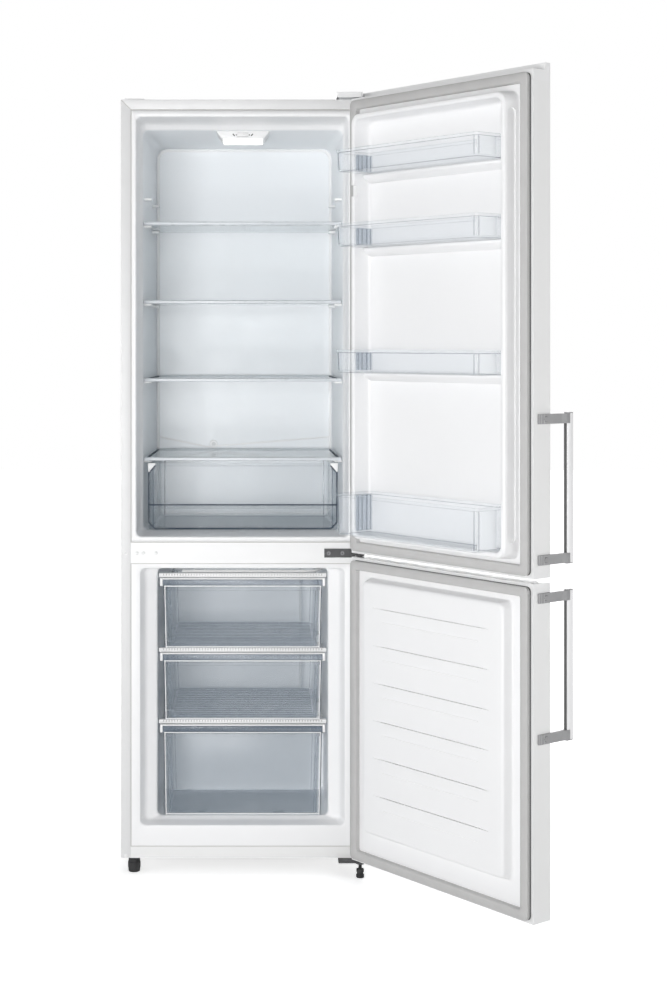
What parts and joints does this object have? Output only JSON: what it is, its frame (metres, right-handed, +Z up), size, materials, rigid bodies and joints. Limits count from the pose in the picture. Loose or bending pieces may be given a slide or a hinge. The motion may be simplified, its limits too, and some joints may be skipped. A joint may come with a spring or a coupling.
{
  "type": "fridge freezer",
  "caption": "Tall free-standing fridge freezer with an upper fridge door, lower freezer door, shelves, crisper, door balconies and freezer drawers.",
  "frame": {"origin": "on the floor under the hinge pins, at the middle of the front right foot", "axes": "+Z up, +Y from the front to the back of the cabinet, +X to the hinge side"},
  "size_m": [0.9492, 0.9742, 1.762],
  "materials": {
    "white_steel": "satin white paint",
    "frame_grey": "satin pale grey paint",
    "zinc_steel": "galvanised",
    "white_plastic": "moulded white plastic",
    "liner_plastic": "vacuum-formed white sheet",
    "foam": "rigid insulating foam, seen nowhere outside",
    "seal_grey": "soft grey seal",
    "clear_plastic": "clear bluish plastic",
    "shelf_glass": "clear toughened glass",
    "dark_steel": "dark painted steel",
    "silver": "satin silver",
    "bracket_grey": "grey moulded plastic",
    "black_plastic": "black moulded plastic",
    "black_steel": "black enamel",
    "black_rubber": "black rubber",
    "lamp": "frosted lamp cover",
    "aluminium_plate": "bare plate"
  },
  "bodies": {
    "cabinet": {"outer_wrap": "frame_grey", "back_panel": "zinc_steel", "base_plate": "frame_grey", "cabinet_foam": "foam", "fridge_liner": "liner_plastic", "freezer_liner": "liner_plastic", "mullion_cover": "white_plastic", "top_hinge": "zinc_steel", "top_hinge_cover": "white_plastic", "middle_hinge": "dark_steel", "bottom_hinge": "dark_steel", "hinge_screws": "zinc_steel", "hole_plugs": "white_plastic", "control_housing": "white_plastic", "lamp_diffuser": "lamp", "freezer_evaporator": "white_steel", "fridge_evaporator": "aluminium_plate", "condenser": "black_steel", "compressor": "black_steel", "compressor_mounts": "black_rubber", "drip_tray": "black_plastic", "drain_tube": "white_plastic", "terminal_box": "black_plastic"},
    "thermostat_dial": {"thermostat_dial": "white_plastic"},
    "front_left_foot": {"front_left_foot": "black_plastic"},
    "front_right_foot": {"front_right_foot": "black_plastic"},
    "rear_left_roller": {"rear_left_roller": "black_plastic"},
    "rear_right_roller": {"rear_right_roller": "black_plastic"},
    "fridge_door": {"fridge_door_skin": "white_steel", "fridge_door_foam": "foam", "fridge_door_liner": "liner_plastic", "fridge_door_gasket": "seal_grey", "fridge_door_top_cap": "white_plastic", "fridge_door_bottom_cap": "white_plastic", "fridge_door_handle_bar": "silver", "fridge_door_handle_brackets": "bracket_grey"},
    "freezer_door": {"freezer_door_skin": "white_steel", "freezer_door_foam": "foam", "freezer_door_liner": "liner_plastic", "freezer_door_gasket": "seal_grey", "freezer_door_top_cap": "white_plastic", "freezer_door_bottom_cap": "white_plastic", "freezer_door_handle_bar": "silver", "freezer_door_handle_brackets": "bracket_grey"},
    "top_balcony": {"top_balcony": "clear_plastic"},
    "upper_balcony": {"upper_balcony": "clear_plastic"},
    "middle_balcony": {"middle_balcony": "clear_plastic"},
    "bottle_balcony": {"bottle_balcony": "clear_plastic"},
    "top_drawer": {"top_drawer": "clear_plastic"},
    "middle_drawer": {"middle_drawer": "clear_plastic"},
    "bottom_drawer": {"bottom_drawer": "clear_plastic"},
    "crisper_bin": {"crisper_bin": "clear_plastic"},
    "top_shelf": {"top_shelf_glass": "shelf_glass", "top_shelf_trim": "white_plastic"},
    "middle_shelf": {"middle_shelf_glass": "shelf_glass", "middle_shelf_trim": "white_plastic"},
    "lower_shelf": {"lower_shelf_glass": "shelf_glass", "lower_shelf_trim": "white_plastic"},
    "crisper_cover": {"crisper_cover_glass": "shelf_glass", "crisper_cover_trim": "white_plastic"}
  },
  "joints": [
    {"name": "fridge_door_hinge", "type": "hinge", "parent": "cabinet", "child": "fridge_door", "pos_m": [0, 0, 0.72], "axis": [0, 0, 1], "range_deg": [-128, 7]},
    {"name": "freezer_door_hinge", "type": "hinge", "parent": "cabinet", "child": "freezer_door", "pos_m": [0, 0, 0.72], "axis": [0, 0, 1], "range_deg": [-128, 7]},
    {"name": "top_balcony_lift", "type": "slide", "parent": "fridge_door", "child": "top_balcony", "axis": [0, 0, -1], "range_m": [-0.035, 0]},
    {"name": "upper_balcony_lift", "type": "slide", "parent": "fridge_door", "child": "upper_balcony", "axis": [0, 0, -1], "range_m": [-0.035, 0]},
    {"name": "middle_balcony_lift", "type": "slide", "parent": "fridge_door", "child": "middle_balcony", "axis": [0, 0, -1], "range_m": [-0.035, 0]},
    {"name": "bottle_balcony_lift", "type": "slide", "parent": "fridge_door", "child": "bottle_balcony", "axis": [0, 0, -1], "range_m": [-0.035, 0]},
    {"name": "top_shelf_slide", "type": "slide", "parent": "cabinet", "child": "top_shelf", "axis": [0, -1, 0], "range_m": [0, 0.25]},
    {"name": "middle_shelf_slide", "type": "slide", "parent": "cabinet", "child": "middle_shelf", "axis": [0, -1, 0], "range_m": [0, 0.25]},
    {"name": "lower_shelf_slide", "type": "slide", "parent": "cabinet", "child": "lower_shelf", "axis": [0, -1, 0], "range_m": [0, 0.25]},
    {"name": "crisper_cover_slide", "type": "slide", "parent": "cabinet", "child": "crisper_cover", "axis": [0, -1, 0], "range_m": [0, 0.25]},
    {"name": "crisper_bin_slide", "type": "slide", "parent": "cabinet", "child": "crisper_bin", "axis": [0, -1, 0], "range_m": [0, 0.18]},
    {"name": "top_drawer_slide", "type": "slide", "parent": "cabinet", "child": "top_drawer", "axis": [0, -1, 0], "range_m": [0, 0.28]},
    {"name": "middle_drawer_slide", "type": "slide", "parent": "cabinet", "child": "middle_drawer", "axis": [0, -1, 0], "range_m": [0, 0.28]},
    {"name": "bottom_drawer_slide", "type": "slide", "parent": "cabinet", "child": "bottom_drawer", "axis": [0, -1, 0], "range_m": [0, 0.18]},
    {"name": "thermostat_dial_turn", "type": "hinge", "parent": "cabinet", "child": "thermostat_dial", "pos_m": [-0.2645, 0.141, 1.68], "axis": [0, 0, 1], "range_deg": [-90, 150]},
    {"name": "front_left_foot_screw", "type": "hinge", "parent": "cabinet", "child": "front_left_foot", "pos_m": [-0.5105, 0.048, 0.02], "axis": [0, 0, 1], "continuous": true},
    {"name": "front_right_foot_screw", "type": "hinge", "parent": "cabinet", "child": "front_right_foot", "pos_m": [0, 0, 0.02], "axis": [0, 0, 1], "continuous": true},
    {"name": "rear_left_roller_spin", "type": "hinge", "parent": "cabinet", "child": "rear_left_roller", "pos_m": [-0.4965, 0.476, 0.017], "axis": [1, 0, 0], "continuous": true},
    {"name": "rear_right_roller_spin", "type": "hinge", "parent": "cabinet", "child": "rear_right_roller", "pos_m": [-0.0325, 0.476, 0.017], "axis": [1, 0, 0], "continuous": true}
  ]
}
